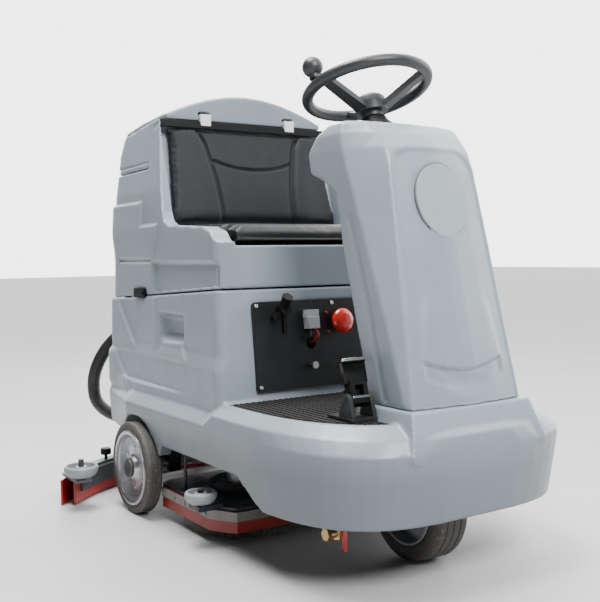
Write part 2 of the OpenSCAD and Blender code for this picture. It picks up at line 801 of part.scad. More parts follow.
module deck_wall(z0, z1, out, t) {
    translate([0, 0, z0]) linear_extrude(z1 - z0) difference() {
        offset(delta = out + t) polygon(deck_outline);
        offset(delta = out) polygon(deck_outline);
        translate([-100, -400]) square([205, 800]);
    }
}
module deck_skirt() {
    color(skirt_red) deck_wall(34, deck_top_z - 8, 0.3, 5);
}
module skirt_strip() {
    color([0.7, 0.7, 0.7]) {
        deck_wall(deck_top_z - 32, deck_top_z - 8, 5.6, 3);
        both_sides() for (x = [125, 185, 245, 305, 360])
            translate([x, -deck_half_w - 8.6, deck_top_z - 20]) rotate([90, 0, 0]) cylinder(r = 6, h = 4);
        for (y = [-250, -150, -50, 50, 150, 250])
            translate([448.6, y, deck_top_z - 20]) rotate([0, 90, 0]) cylinder(r = 6, h = 4);
    }
}

// Bowl-shaped guide roller on an upright bolt
module bowl_roller(r, h) {
    rotate_extrude() polygon([
        [8.05, 0], [r * 0.55, 0], [r * 0.85, h * 0.25], [r, h * 0.55], [r, h * 0.85], [r - 4, h], [r - 8, h],
        [r - 10, h * 0.55], [18, h * 0.45], [16, h * 0.9], [8.05, h * 0.9]]);
}
roller_r = 40;
module deck_roller_right() {
    color(roller_grey) translate([roller_x, -roller_y, deck_top_z + 7.3]) bowl_roller(roller_r, 32);
}
module deck_roller_left() { mirror([0, 1, 0]) deck_roller_right(); }

module disc_brush(side) {
    color([0.45, 0.45, 0.46]) translate([brush_x, side * brush_y, 0]) {
        difference() {
            translate([0, 0, bristle_h]) cylinder(r = brush_r - 3, h = 18);
            translate([0, 0, bristle_h - 4]) cylinder(r = 30, h = 40);
        }
        translate([0, 0, bristle_h + 14]) difference() {
            cylinder(r = 44, h = 16);
            translate([0, 0, -4]) cylinder(r = 14.05, h = 40);
        }
        difference() {
            cylinder(r = brush_r, h = bristle_h + 0.5);
            translate([0, 0, -1]) cylinder(r = 70, h = 60);
        }
    }
}
module brush_right() { disc_brush(-1); }
module brush_left() { disc_brush(1); }

// ---------- squeegee ----------

squeegee_cx = 308;
sweep_a = 49.5;
channel_z = 76;
module arc_bar(r0, r1, z0, z1, a = sweep_a) {
    translate([squeegee_cx, 0, z0]) rotate([0, 0, 180 - a]) rotate_extrude(angle = 2 * a, $fn = 128)
        translate([r0, 0]) square([r1 - r0, z1 - z0]);
}
module squeegee_frame() {
    color([0.35, 0.37, 0.4]) {
        difference() {
            union() {
                arc_bar(squeegee_r - 26, squeegee_r + 4, 60, channel_z + 14, sweep_a - 5);
                arc_bar(squeegee_r - 39, squeegee_r - 33.3, 34, channel_z + 6, sweep_a - 5);
                arc_bar(squeegee_r - 39, squeegee_r - 25, channel_z, channel_z + 6, sweep_a - 5);
                translate([squeegee_cx - squeegee_r - 8, -50, channel_z + 8]) cube([102, 100, 10]);
                translate([squeegee_cx - squeegee_r + 12, 0, channel_z]) cylinder(r = 34, h = 66);
            }
            translate([squeegee_cx - squeegee_r + 12, 0, 40]) cylinder(r = 24, h = 140);
            translate([yoke_x, 0, 80]) cylinder(r = 10.05, h = 40);
        }
        both_sides() {
            translate([-222, end_y - 22, channel_z + 2.5]) cube([124, 44, 8]);
            translate([end_x, end_y, channel_z + 10]) cylinder(r = 8, h = 56);
        }
    }
}
// Place of the right-hand guide roller, ahead of the blade's end
end_x = -122;
end_y = -502;
module squeegee_blades() {
    color([0.78, 0.1, 0.05]) {
        arc_bar(squeegee_r + 4.3, squeegee_r + 10.3, 1, 1 + blade_h + 16, sweep_a - 1.6);
        arc_bar(squeegee_r - 33, squeegee_r - 27, 3, 1 + blade_h + 10, sweep_a - 2);
    }
}
module squeegee_knobs() {
    color([0.06, 0.06, 0.06]) both_sides() {
        for (a = [14, 30]) translate([squeegee_cx - (squeegee_r - 11) * cos(a), -(squeegee_r - 11) * sin(a), channel_z + 14.3]) {
            cylinder(r = 5, h = 30);
            translate([0, 0, 14]) cylinder(r = 16, h = 18);
        }
    }
}
// Lift linkage: arms from the chassis pin down to the yoke, which stays level
lift_x = -261;
lift_z = 196;
yoke_x = -336;
yoke_z = 130;
arm_y = 60;
module squeegee_arm() {
    color(dark_steel) {
        both_sides() difference() {
            hull() {
                translate([lift_x, 0, lift_z]) rod_y(15, -arm_y - 5, -arm_y + 5);
                translate([yoke_x, 0, yoke_z]) rod_y(13, -arm_y - 5, -arm_y + 5);
            }
            translate([yoke_x, 0, yoke_z]) rod_y(7.05, -arm_y - 10, -arm_y + 10);
        }
        translate([lift_x, 0, lift_z]) rod_y(8, -arm_y - 5, arm_y + 5);
    }
}
module squeegee_yoke() {
    color(steel) {
        translate([yoke_x - 13, -50, yoke_z - 13]) cube([26, 100, 26]);
        translate([yoke_x, 0, yoke_z]) rod_y(7, -arm_y - 5, arm_y + 5);
        translate([yoke_x, 0, channel_z + 4]) cylinder(r = 10, h = yoke_z - channel_z - 8);
    }
}
module end_roller(side) {
    color(roller_grey) mirror([0, side > 0 ? 1 : 0, 0]) translate([end_x, end_y, channel_z + 14.3]) bowl_roller(48, 34);
}
module end_roller_right() { end_roller(-1); }
module end_roller_left() { end_roller(1); }

// ---------- suction hose, water valve, actuators ----------

hose_r = 21;
hose_points = [
    [-366.5, -150, 540], [-408, -156, 530], [-450, -182, 502], [-484, -226, 460], [-508, -268, 410],
    [-526, -296, 348], [-530, -306, 292], [-524, -298, 236], [-504, -262, 196], [-474, -200, 174],
    [-444, -128, 174], [-422, -66, 184], [-406, -22, 186], [-402, -3, 164], [-402, 0, 134], [-402, 0, 106]];
module suction_hose() {
    color([0.07, 0.07, 0.08]) tube(hose_points, hose_r, 12, [0.1, 0.4, 1]);
}
module hose_port() {
    color([0.1, 0.1, 0.11]) translate([-rear_x - 6, -150, 540]) rotate([0, 90, 0]) difference() {
        cylinder(r = 32, h = 5.5);
        translate([0, 0, -1]) cylinder(r = 18, h = 10);
    }
}

module water_filter() {
    color([0.05, 0.15, 0.3]) translate([720, -210, 118]) {
        cylinder(r = 24, h = 36);
        translate([0, 0, 36]) cylinder(r = 30, h = 12);
    }
}
module drain_valve() {
    color([0.55, 0.5, 0.42]) translate([720, -210, 0]) {
        translate([0, 0, 76]) cylinder(r = 13, h = 41.7);
        translate([0, -28, 90]) rotate([-90, 0, 0]) cylinder(r = 11, h = 40);
        translate([0, -36, 90]) rotate([-90, 0, 0]) cylinder(r = 15, h = 9, $fn = 6);
    }
}
module valve_handle() {
    color("firebrick") translate([734, -210, 98]) {
        rotate([0, 90, 0]) cylinder(r = 5, h = 14);
        translate([8, -6, -46]) cube([5, 12, 50]);
    }
}
module lift_actuators() {
    color([0.5, 0.51, 0.53]) {
        translate([90, 20, 262]) rotate([0, 90, 0]) cylinder(r = 20, h = 120);
        translate([-230, -30, 215]) rotate([0, 90, 0]) cylinder(r = 18, h = 180);
    }
}

place() lower_body();
place() chassis_frame();
place() floor_mat();
place() steering_fairing();
place() fairing_badge();
place() column_boot();
place() steering_column();
place() control_panel();
place() panel_screws();
place() charge_socket();
place() charge_leads();
place() batteries();
place() drive_controller();
place() rear_axle();
place() water_filter();
place() drain_valve();
place() hose_port();
place() suction_hose();
place() lift_actuators();
place() pedal_bracket();
place() tank_hinge();
place() recovery_tank();
place() seat_cushion();
place() seat_back();
place() tank_clips();
place() vacuum_motor();
place() float_basket();
place() hinge_blocks();
place() tank_lid();
place() steering_wheel();
place() hub_cap();
place() spinner_knob();
place() drive_fork();
place() drive_motor();
place() drive_tyre();
place() drive_hub();
place() rear_tyre_right();
place() rear_rim_right();
place() rear_tyre_left();
place() rear_rim_left();
place() brush_deck();
place() deck_skirt();
place() skirt_strip();
place() brush_motors();
place() deck_roller_right();
place() deck_roller_left();
place() brush_right();
place() brush_left();
place() squeegee_arm();
place() squeegee_yoke();
place() squeegee_frame();
place() squeegee_blades();
place() squeegee_knobs();
place() end_roller_right();
place() end_roller_left();
place() accelerator_pedal();
place() emergency_stop();
place() water_lever();
place() breaker_button();
place() valve_handle();
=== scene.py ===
import json
import math

import bmesh
import bpy
import numpy as np
from mathutils import Matrix, Vector


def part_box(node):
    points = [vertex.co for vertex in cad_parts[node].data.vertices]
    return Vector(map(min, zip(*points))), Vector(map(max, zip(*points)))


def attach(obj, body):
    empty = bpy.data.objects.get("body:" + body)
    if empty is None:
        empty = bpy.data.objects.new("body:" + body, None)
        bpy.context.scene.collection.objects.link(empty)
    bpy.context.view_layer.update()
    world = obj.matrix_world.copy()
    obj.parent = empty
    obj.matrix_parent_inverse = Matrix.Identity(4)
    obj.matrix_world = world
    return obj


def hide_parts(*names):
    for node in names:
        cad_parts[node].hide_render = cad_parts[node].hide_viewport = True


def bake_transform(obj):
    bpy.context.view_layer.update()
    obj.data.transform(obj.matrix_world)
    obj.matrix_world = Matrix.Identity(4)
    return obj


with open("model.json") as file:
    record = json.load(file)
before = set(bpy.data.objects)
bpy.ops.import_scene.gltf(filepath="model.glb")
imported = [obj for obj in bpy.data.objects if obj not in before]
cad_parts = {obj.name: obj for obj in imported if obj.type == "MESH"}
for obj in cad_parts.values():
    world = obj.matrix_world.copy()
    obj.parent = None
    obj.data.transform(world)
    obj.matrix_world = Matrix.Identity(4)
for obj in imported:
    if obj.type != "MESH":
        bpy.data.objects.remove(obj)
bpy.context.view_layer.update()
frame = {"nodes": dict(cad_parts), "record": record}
nodes = frame["nodes"]
node_body = {n: b for b, names in frame["record"]["behaviour"]["bodies"].items() for n in names}
node_slot = {s["node"]: s["material_slot"] for s in frame["record"]["subparts"]}
rng = np.random.default_rng(11)
WELD_GAP = 0.00002


# ---------- places ----------

def middle(node):
    low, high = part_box(node)
    return (Vector(low) + Vector(high)) / 2


# The machine is measured from its rear axle: X forward, Y to the left, Z up from the floor.
AXLE_X = middle("rear_rim_right").x


def at(x, y, z):
    return Vector((AXLE_X + x, y, z))


# ---------- material building ----------

class Tree:
    """A node material under construction; every helper returns an output socket."""

    def __init__(self, name):
        self.material = bpy.data.materials.new(name)
        self.material.use_nodes = True
        self.nodes = self.material.node_tree.nodes
        self.links = self.material.node_tree.links
        self.shader = self.nodes["Principled BSDF"]
        self.coords = self.nodes.new("ShaderNodeTexCoord").outputs["Object"]

    def put(self, socket, value):
        if isinstance(value, bpy.types.NodeSocket):
            self.links.new(value, socket)
        elif isinstance(value, (tuple, list)) and len(value) == 3 and socket.type == "RGBA":
            socket.default_value = (*value, 1)
        else:
            socket.default_value = value

    def set(self, **inputs):
        for key, value in inputs.items():
            self.put(self.shader.inputs[key.replace("_", " ")], value)

    def scaled(self, scale):
        mapping = self.nodes.new("ShaderNodeMapping")
        mapping.inputs["Scale"].default_value = scale
        self.links.new(self.coords, mapping.inputs["Vector"])
        return mapping.outputs["Vector"]

    def noise(self, scale, detail=3.0, rough=0.5, stretch=None):
        n = self.nodes.new("ShaderNodeTexNoise")
        self.links.new(self.scaled(stretch) if stretch else self.coords, n.inputs["Vector"])
        n.inputs["Scale"].default_value = scale
        n.inputs["Detail"].default_value = detail
        n.inputs["Roughness"].default_value = rough
        return n.outputs["Fac"]

    def cells(self, scale):
        n = self.nodes.new("ShaderNodeTexVoronoi")
        self.links.new(self.coords, n.inputs["Vector"])
        n.inputs["Scale"].default_value = scale
        return n.outputs["Distance"]

    def remap(self, value, low, high, to_low=0.0, to_high=1.0):
        n = self.nodes.new("ShaderNodeMapRange")
        self.links.new(value, n.inputs["Value"])
        for key, number in (("From Min", low), ("From Max", high), ("To Min", to_low), ("To Max", to_high)):
            n.inputs[key].default_value = number
        return n.outputs["Result"]

    def math(self, operation, a, b=0.0):
        n = self.nodes.new("ShaderNodeMath")
        n.operation = operation
        self.put(n.inputs[0], a)
        self.put(n.inputs[1], b)
        return n.outputs["Value"]

    def mix(self, factor, a, b):
        n = self.nodes.new("ShaderNodeMix")
        n.data_type = "RGBA"
        self.put(n.inputs[0], factor)
        self.put(n.inputs[6], a)
        self.put(n.inputs[7], b)
        return n.outputs[2]

    def axis(self, letter):
        split = self.nodes.new("ShaderNodeSeparateXYZ")
        self.links.new(self.coords, split.inputs[0])
        return split.outputs[letter]

    def bump(self, height, distance, strength=1.0, under=None):
        n = self.nodes.new("ShaderNodeBump")
        n.inputs["Distance"].default_value = distance
        n.inputs["Strength"].default_value = strength
        self.links.new(height, n.inputs["Height"])
        if under is not None:
            self.links.new(under, n.inputs["Normal"])
        return n.outputs["Normal"]


def tone(colour, by):
    return tuple(min(1.0, max(0.0, c * by)) for c in colour)


DUST = (0.33, 0.31, 0.28)
TREAD_DUST = (0.3, 0.28, 0.25)
GRIME = (0.05, 0.045, 0.04)
# Heights where the dust starts, and where the painted shade starts and where it is full
DUST_TOP, SHADE_TOP, SHADE_FULL = 0.45, 0.36, 0.24


def plastic(name, colour, rough=0.42, grain=900, depth=0.00012, spread=0.07, coat=0.0, dust=0.0, scuff=0.25,
            wave=0.0, gleam=0.5, low_shade=0.0):
    """Moulded plastic or rubber: fine grain, slow blotches of tone and gloss, thin scuffs.

    dust lightens what is low down and a painted shade darkens it; wave is the depth of the moulding's slow
    unevenness.
    """
    t = Tree(name)
    blotch = t.remap(t.noise(5, 4), 0.35, 0.65)
    base = t.mix(blotch, tone(colour, 1 - spread), tone(colour, 1 + spread))
    scratches = t.remap(t.noise(55, 6, 0.7, stretch=(1.0, 0.25, 3.5)), 0.66, 0.76)
    base = t.mix(t.math("MULTIPLY", scratches, scuff), base, tone(colour, 1.35))
    if dust:
        low = t.remap(t.axis("Z"), DUST_TOP, 0.02, 0.0, dust)
        base = t.mix(t.math("MULTIPLY", low, t.remap(t.noise(9, 5), 0.3, 0.7)), base, DUST)
    # Painted shade: the lower parts darken towards 0.3 of the colour, a little patchily, standing in for the
    # shade low on the body
    if low_shade:
        low = t.remap(t.axis("Z"), SHADE_TOP, SHADE_FULL, 0.0, low_shade)
        patchy = t.remap(t.noise(4, 3), 0.2, 0.8, 0.8, 1.0)
        base = t.mix(t.math("MULTIPLY", low, patchy), base, tone(colour, 0.3))
    fine = t.noise(grain, 2)
    gloss = t.math("ADD", t.remap(t.noise(14, 5), 0.3, 0.7, rough - 0.06, rough + 0.07),
                   t.math("MULTIPLY", scratches, 0.15))
    normal = t.bump(fine, depth, 0.6)
    if wave:
        normal = t.bump(t.noise(11, 2), wave, 0.5, under=normal)
    t.set(Base_Color=base, Roughness=gloss, Normal=normal, Coat_Weight=coat, Coat_Roughness=0.25,
          Specular_IOR_Level=gleam)
    return t.material


def metal(name, colour, rough=0.32, stretch=(1, 1, 14), grime=0.25):
    """Worked metal: fine directional brushing and grime gathered in slow patches."""
    t = Tree(name)
    lines = t.noise(260, 3, 0.6, stretch=stretch)
    patches = t.remap(t.noise(22, 6, 0.65), 0.5, 0.75)
    brushed = t.mix(lines, tone(colour, 0.86), tone(colour, 1.1))
    base = t.mix(t.math("MULTIPLY", patches, grime), brushed, GRIME)
    gloss = t.remap(lines, 0.3, 0.7, rough - 0.07, rough + 0.09)
    t.set(Base_Color=base, Metallic=1.0, Roughness=t.math("ADD", gloss, t.math("MULTIPLY", patches, 0.2)),
          Normal=t.bump(lines, 0.00006, 0.7))
    return t.material


def vinyl(name, colour, rough, gleam):
    """Coated seat fabric: pebbled grain over slow creases that vary its tone and sheen."""
    t = Tree(name)
    pebble = t.cells(420)
    crease = t.noise(38, 5, 0.6)
    base = t.mix(t.remap(crease, 0.35, 0.7), tone(colour, 0.85), tone(colour, 1.15))
    normal = t.bump(pebble, 0.00035, 0.55, under=t.bump(crease, 0.0012, 0.35))
    gloss = t.remap(crease, 0.3, 0.7, rough - 0.05, rough + 0.12)
    t.set(Base_Color=base, Roughness=gloss, Normal=normal, Specular_IOR_Level=gleam)
    return t.material


def tyre_rubber(name, colour):
    """Tyre rubber with patches of wear and a fine scatter of dust."""
    t = Tree(name)
    patches = t.remap(t.noise(30, 5, 0.6), 0.35, 0.7)
    base = t.mix(patches, colour, tone(colour, 1.5))
    base = t.mix(t.remap(t.noise(160, 4), 0.55, 0.75, 0.0, 0.35), base, TREAD_DUST)
    t.set(Base_Color=base, Roughness=t.remap(patches, 0, 1, 0.62, 0.82),
          Normal=t.bump(t.noise(700, 4), 0.0002, 0.7))
    return t.material


def worn_paint(name, colour, under, amount, rough=0.4):
    """Painted steel with small chips and rubbed patches that show what is under it."""
    t = Tree(name)
    chips = t.remap(t.noise(120, 7, 0.72), 0.62, 0.66)
    rubs = t.remap(t.noise(16, 5, 0.6), 0.55, 0.75, 0.0, amount)
    worn = t.math("MINIMUM", t.math("ADD", t.math("MULTIPLY", chips, amount * 2), rubs), 1.0)
    base = t.mix(worn, t.mix(t.noise(8, 3), tone(colour, 0.85), tone(colour, 1.15)), under)
    t.set(Base_Color=base, Metallic=t.math("MULTIPLY", worn, 0.4),
          Roughness=t.remap(t.noise(60, 5), 0.3, 0.7, rough - 0.05, rough + 0.2),
          Normal=t.bump(chips, 0.0001, 0.5, under=t.bump(t.noise(500, 3), 0.00012, 0.5)))
    return t.material


def bristle_fibre(name, colour, tip):
    """Nylon bristles: each fibre its own tone along its length, lighter towards the floor."""
    t = Tree(name)
    fibres = t.noise(900, 2, stretch=(1, 1, 0.03))
    dyed = t.mix(fibres, tone(colour, 0.6), tone(colour, 1.2))
    base = t.mix(t.remap(t.axis("Z"), 0.035, 0.0), dyed, tip)
    t.set(Base_Color=base, Roughness=t.remap(fibres, 0.3, 0.7, 0.45, 0.65),
          Normal=t.bump(fibres, 0.0008, 0.8))
    return t.material


def lead_pair(name, part_y):
    """Two cable leads, told apart by their side: red to the left of part_y and black to the right."""
    t = Tree(name)
    left = t.math("GREATER_THAN", t.axis("Y"), part_y)
    blotch = t.remap(t.noise(60, 4), 0.3, 0.7, 0.8, 1.15)
    colour = t.mix(left, (0.006, 0.006, 0.007), (0.42, 0.02, 0.012))
    t.set(Base_Color=colour, Roughness=t.math("MULTIPLY", blotch, 0.42),
          Normal=t.bump(t.noise(1500, 2), 0.0001, 0.5))
    return t.material


SOCKET_Y = -0.087
materials = {
    # The shell's lower parts get painted shade
    "shell": plastic("shell_plastic", (0.222, 0.262, 0.294), 0.36, grain=1100, depth=0.0001, spread=0.035,
                     coat=0.12, scuff=0.06, wave=0.0008, low_shade=0.62),
    "badge": plastic("badge_plate", (0.27, 0.315, 0.345), 0.3, spread=0.03, scuff=0.05, coat=0.3),
    "frame_black": worn_paint("frame_paint", (0.01, 0.011, 0.012), (0.1, 0.085, 0.07), 0.2),
    "mat_rubber": plastic("mat_rubber", (0.014, 0.013, 0.012), 0.62, grain=520, depth=0.0004, spread=0.2,
                          scuff=0.3, gleam=0.3),
    "soft_black": plastic("grip_polymer", (0.0042, 0.0045, 0.0048), 0.5, grain=700, depth=0.0002, spread=0.12,
                          scuff=0.08, gleam=0.14),
    "panel_black": plastic("panel_polymer", (0.009, 0.0095, 0.0105), 0.4, grain=1400, depth=0.00018,
                           spread=0.15, scuff=0.12, gleam=0.3),
    "bright_steel": metal("zinc_steel", (0.62, 0.61, 0.58), 0.3),
    "connector_grey": plastic("connector_polymer", (0.33, 0.34, 0.35), 0.45, scuff=0.1),
    "wire_red": lead_pair("lead_insulation", SOCKET_Y),
    "battery": plastic("battery_case", (0.04, 0.045, 0.05), 0.5, scuff=0.2),
    "controller": metal("controller_case", (0.4, 0.41, 0.43), 0.4),
    "filter_blue": plastic("filter_bowl", (0.05, 0.12, 0.22), 0.2, scuff=0.05, coat=0.4),
    "valve_brass": metal("valve_brass", (0.66, 0.45, 0.2), 0.34),
    "hose": plastic("hose_rubber", (0.008, 0.008, 0.009), 0.45, grain=600, spread=0.2, dust=0.25),
    "seat": vinyl("seat_vinyl", (0.006, 0.0064, 0.007), 0.4, 0.25),
    "seat_back": vinyl("back_vinyl", (0.017, 0.019, 0.022), 0.55, 0.2),
    "motor_grey": metal("motor_case", (0.3, 0.31, 0.32), 0.42, stretch=(1, 1, 1)),
    "basket": plastic("basket_mesh", (0.14, 0.15, 0.16), 0.5),
    "hinge_white": plastic("hinge_polymer", (0.72, 0.73, 0.72), 0.42, scuff=0.1),
    "wheel_black": plastic("hub_polymer", (0.025, 0.026, 0.028), 0.42, scuff=0.3, dust=0.3),
    "tyre": tyre_rubber("tyre_rubber", (0.05, 0.046, 0.042)),
    "roller_grey": plastic("roller_polymer", (0.25, 0.265, 0.29), 0.42, scuff=0.3, dust=0.2),
    "deck_dark": worn_paint("deck_paint", (0.012, 0.015, 0.024), (0.12, 0.12, 0.12), 0.18, 0.34),
    "skirt_red": plastic("skirt_polyurethane", (0.24, 0.014, 0.005), 0.4, grain=500, depth=0.0003,
                         spread=0.14, scuff=0.3),
    "strip": worn_paint("strip_paint", (0.19, 0.175, 0.165), (0.12, 0.022, 0.012), 0.85, 0.45),
    "brush": plastic("brush_block", (0.2, 0.215, 0.23), 0.5, scuff=0.3, dust=0.4),
    "channel_grey": worn_paint("channel_coating", (0.04, 0.045, 0.052), (0.3, 0.3, 0.3), 0.2, 0.36),
    "blade_red": plastic("blade_rubber", (0.34, 0.009, 0.004), 0.36, grain=400, spread=0.12, scuff=0.15),
    "stop_red": plastic("stop_polymer", (0.62, 0.012, 0.006), 0.24, grain=1600, depth=0.00004, spread=0.05,
                        scuff=0.04, coat=0.5),
}
BRISTLE = bristle_fibre("brush_fibre", (0.22, 0.2, 0.17), (0.5, 0.48, 0.43))
RIM_METAL = metal("rim_casting", (0.5, 0.51, 0.53), 0.34, stretch=(1, 1, 1), grime=0.45)
EDGE_METAL = metal("rim_edge", (0.42, 0.42, 0.42), 0.28, grime=0.5)
POLISHED = metal("pedal_edge", (0.7, 0.7, 0.72), 0.16, grime=0.1)
LAMP_LENS = plastic("lamp_lens", (0.09, 0.012, 0.008), 0.2, grain=1500, depth=0.00002, coat=0.5)


# ---------- mesh helpers ----------

def add(name, mesh, material, body, smooth=True, slot=None):
    piece = bpy.data.objects.new(name, mesh)
    bpy.context.scene.collection.objects.link(piece)
    mesh.materials.clear()
    mesh.materials.append(material)
    if smooth:
        mesh.shade_smooth()
    if body:
        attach(piece, body)
    return piece


def from_lists(name, points, faces, material, body, **options):
    mesh = bpy.data.meshes.new(name)
    mesh.from_pydata([tuple(p) for p in points], [], faces)
    mesh.validate()
    mesh.update()
    return add(name, mesh, material, body, **options)


def evaluated(piece):
    """The piece's mesh with its modifiers worked in."""
    graph = bpy.context.evaluated_depsgraph_get()
    return bpy.data.meshes.new_from_object(piece.evaluated_get(graph))


def bake(piece):
    """Works the piece's modifiers into its mesh for good."""
    mesh = evaluated(piece)
    old = piece.data
    piece.modifiers.clear()
    piece.data = mesh
    bpy.data.meshes.remove(old)


def per_vertex(mesh, key):
    out = np.empty(len(mesh.vertices) * 3)
    mesh.vertices.foreach_get(key, out)
    return out.reshape(-1, 3)


def coords(mesh):
    return per_vertex(mesh, "co")


def normals(mesh):
    return per_vertex(mesh, "normal")


def put_coords(mesh, points):
    mesh.vertices.foreach_set("co", np.asarray(points, float).ravel())
    mesh.update()


def relieve(mesh, shape):
    """Moves each vertex by shape(places from the rear axle, normals)."""
    points = coords(mesh)
    put_coords(mesh, points + shape(points - np.array([AXLE_X, 0, 0]), normals(mesh)))


def remeshed(node, voxel, rounds):
    """A copy of a CAD node as one even skin, with its edges eased as a moulding's are."""
    source = nodes[node]
    piece = bpy.data.objects.new(node + "_skin", source.data.copy())
    bpy.context.scene.collection.objects.link(piece)
    piece.modifiers.new("weld", "WELD").merge_threshold = WELD_GAP
    skin = piece.modifiers.new("skin", "REMESH")
    skin.mode = "VOXEL"
    skin.voxel_size = voxel
    ease = piece.modifiers.new("ease", "SMOOTH")
    ease.factor = 0.5
    ease.iterations = rounds
    bpy.context.view_layer.update()
    bake(piece)
    return piece


def smooth_step(value, low, high):
    t = np.clip((value - low) / (high - low), 0, 1)
    return t * t * (3 - 2 * t)


def to_line(px, pz, points):
    """Distance from each point to a polyline."""
    best = np.full(px.shape, 1e9)
    for (ax, az), (bx, bz) in zip(points[:-1], points[1:]):
        dx, dz = bx - ax, bz - az
        t = np.clip(((px - ax) * dx + (pz - az) * dz) / (dx * dx + dz * dz), 0, 1)
        best = np.minimum(best, np.hypot(px - ax - t * dx, pz - az - t * dz))
    return best


def inside(px, pz, points):
    """Signed distance to a closed outline, positive inside."""
    ring = list(points) + [points[0]]
    hit = np.zeros(px.shape, bool)
    for (ax, az), (bx, bz) in zip(ring[:-1], ring[1:]):
        crosses = (az > pz) != (bz > pz)
        with np.errstate(divide="ignore", invalid="ignore"):
            where = ax + (pz - az) * (bx - ax) / (bz - az if bz != az else 1e-12)
        hit ^= crosses & (px < where)
    return np.where(hit, 1, -1) * to_line(px, pz, ring)


def finish_node(node, bevel):
    """A plain CAD node keeps its mesh and gets its material and, where bevel isn't 0, eased edges."""
    piece = nodes[node]
    piece.data.materials.clear()
    piece.data.materials.append(materials[node_slot[node]])
    piece.modifiers.new("weld", "WELD").merge_threshold = WELD_GAP
    if bevel:
        edge = piece.modifiers.new("edge", "BEVEL")
        edge.width = bevel
        edge.segments = 2
        edge.limit_method = "ANGLE"
        edge.angle_limit = math.radians(38)
        edge.miter_outer = "MITER_ARC"
    piece.data.shade_smooth()
    piece.modifiers.new("tidy", "WEIGHTED_NORMAL").keep_sharp = True


# ---------- shells ----------

def stand_for(piece, node):
    """Puts a rebuilt skin in its node's place, with the material of the node's slot and the node's body."""
    piece.data.materials.clear()
    piece.data.materials.append(materials[node_slot[node]])
    piece.data.shade_smooth()
    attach(piece, node_body[node])
    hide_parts(node)


def moulded(node, voxel, rounds, shape=None):
    """A shell as one even skin, with the relief that shape gives it."""
    piece = remeshed(node, voxel, rounds)
    if shape:
        relieve(piece.data, shape)
    stand_for(piece, node)


def outward(normal, amount):
    """Each vertex's move along its normal."""
    return normal * amount[:, None]


def on_side(n):
    """1 on surfaces that face sideways, 0 on the others."""
    return smooth_step(np.abs(n[:, 1]), 0.45, 0.75)


def step_in(distance, width=0.005):
    """Soft-edged 0 to 1 step across an outline's edge."""
    return smooth_step(distance, -width, width)


# Outlines on the sides are X and Z from the rear axle. Two blocks stand proud behind diagonals on the body's
# rear corner, and the grip pocket has a sloped sill under it.
UPPER_BLOCK = [(-0.45, 0.60), (-0.27, 0.60), (-0.256, 0.566), (-0.122, 0.447), (-0.122, 0.40), (-0.45, 0.40)]
LOWER_BLOCK = [(-0.45, 0.44), (-0.27, 0.44), (-0.236, 0.40), (-0.125, 0.331), (-0.125, 0.28), (-0.45, 0.28)]
POCKET_SILL = [(0.06, 0.44), (0.088, 0.484), (0.205, 0.488), (0.25, 0.44)]
GRIP_POST = [(0.0, 0.46), (0.006, 0.60), (0.034, 0.60), (0.042, 0.46)]


def body_relief(p, n):
    x, z = p[:, 0], p[:, 2]
    lower_fade = smooth_step(z, 0.31, 0.34) * smooth_step(-z, -0.44, -0.42)
    rise = 0.009 * step_in(inside(x, z, UPPER_BLOCK)) * smooth_step(z, 0.44, 0.47)
    rise += 0.008 * step_in(inside(x, z, LOWER_BLOCK)) * lower_fade
    rise += 0.008 * step_in(inside(x, z, POCKET_SILL), 0.008)
    rise += 0.003 * step_in(inside(x, z, GRIP_POST))
    return outward(n, rise * on_side(n))


# The tank's side: a raised rear block with two ledges, a groove, a sunk panel and the vent slot.
TANK_BLOCK = [(-0.45, 0.871), (-0.085, 0.871), (-0.082, 0.803), (0.035, 0.803), (0.02, 0.74), (0.0, 0.704),
              (-0.45, 0.704)]
TANK_GROOVE = [(-0.27, 0.704), (-0.02, 0.704)]
SUNK_PANEL = [(-0.012, 0.700), (0.395, 0.700), (0.414, 0.688), (0.43, 0.56), (0.012, 0.56)]
VENT_SLOT = [(-0.45, 0.981), (-0.060, 0.984), (-0.058, 0.967), (-0.45, 0.963)]


def tank_relief(p, n):
    x, z = p[:, 0], p[:, 2]
    rise = 0.009 * step_in(inside(x, z, TANK_BLOCK), 0.004) * smooth_step(z, 0.70, 0.80)
    rise -= 0.010 * step_in(inside(x, z, SUNK_PANEL), 0.004) * smooth_step(x, -0.012, 0.0)
    rise -= 0.007 * smooth_step(-to_line(x, z, TANK_GROOVE), -0.008, -0.003)
    rise -= 0.014 * step_in(inside(x, z, VENT_SLOT), 0.003)
    return outward(n, rise * on_side(n))


# The fairing's front, Y and Z: a shallow sunk field with round top corners, a raised inner field and a
# smile-shaped scoop between two curves. Its sides have one long crease, X and Z from the rear axle.
FRONT_FIELD = [(-0.16, 0.36), (-0.138, 0.62), (-0.120, 0.90), (-0.104, 0.932), (-0.07, 0.948),
               (0.07, 0.948), (0.104, 0.932), (0.120, 0.90), (0.138, 0.62), (0.16, 0.36)]
INNER_FIELD = [(-0.118, 0.465), (-0.085, 0.66), (0.085, 0.66), (0.118, 0.465), (0.06, 0.44), (-0.06, 0.44)]
SIDE_CREASE = [(0.835, 0.40), (0.79, 0.60), (0.735, 0.80)]
SCOOP_HALF_WIDTH = 0.118
SCOOP_DEPTH = 0.011


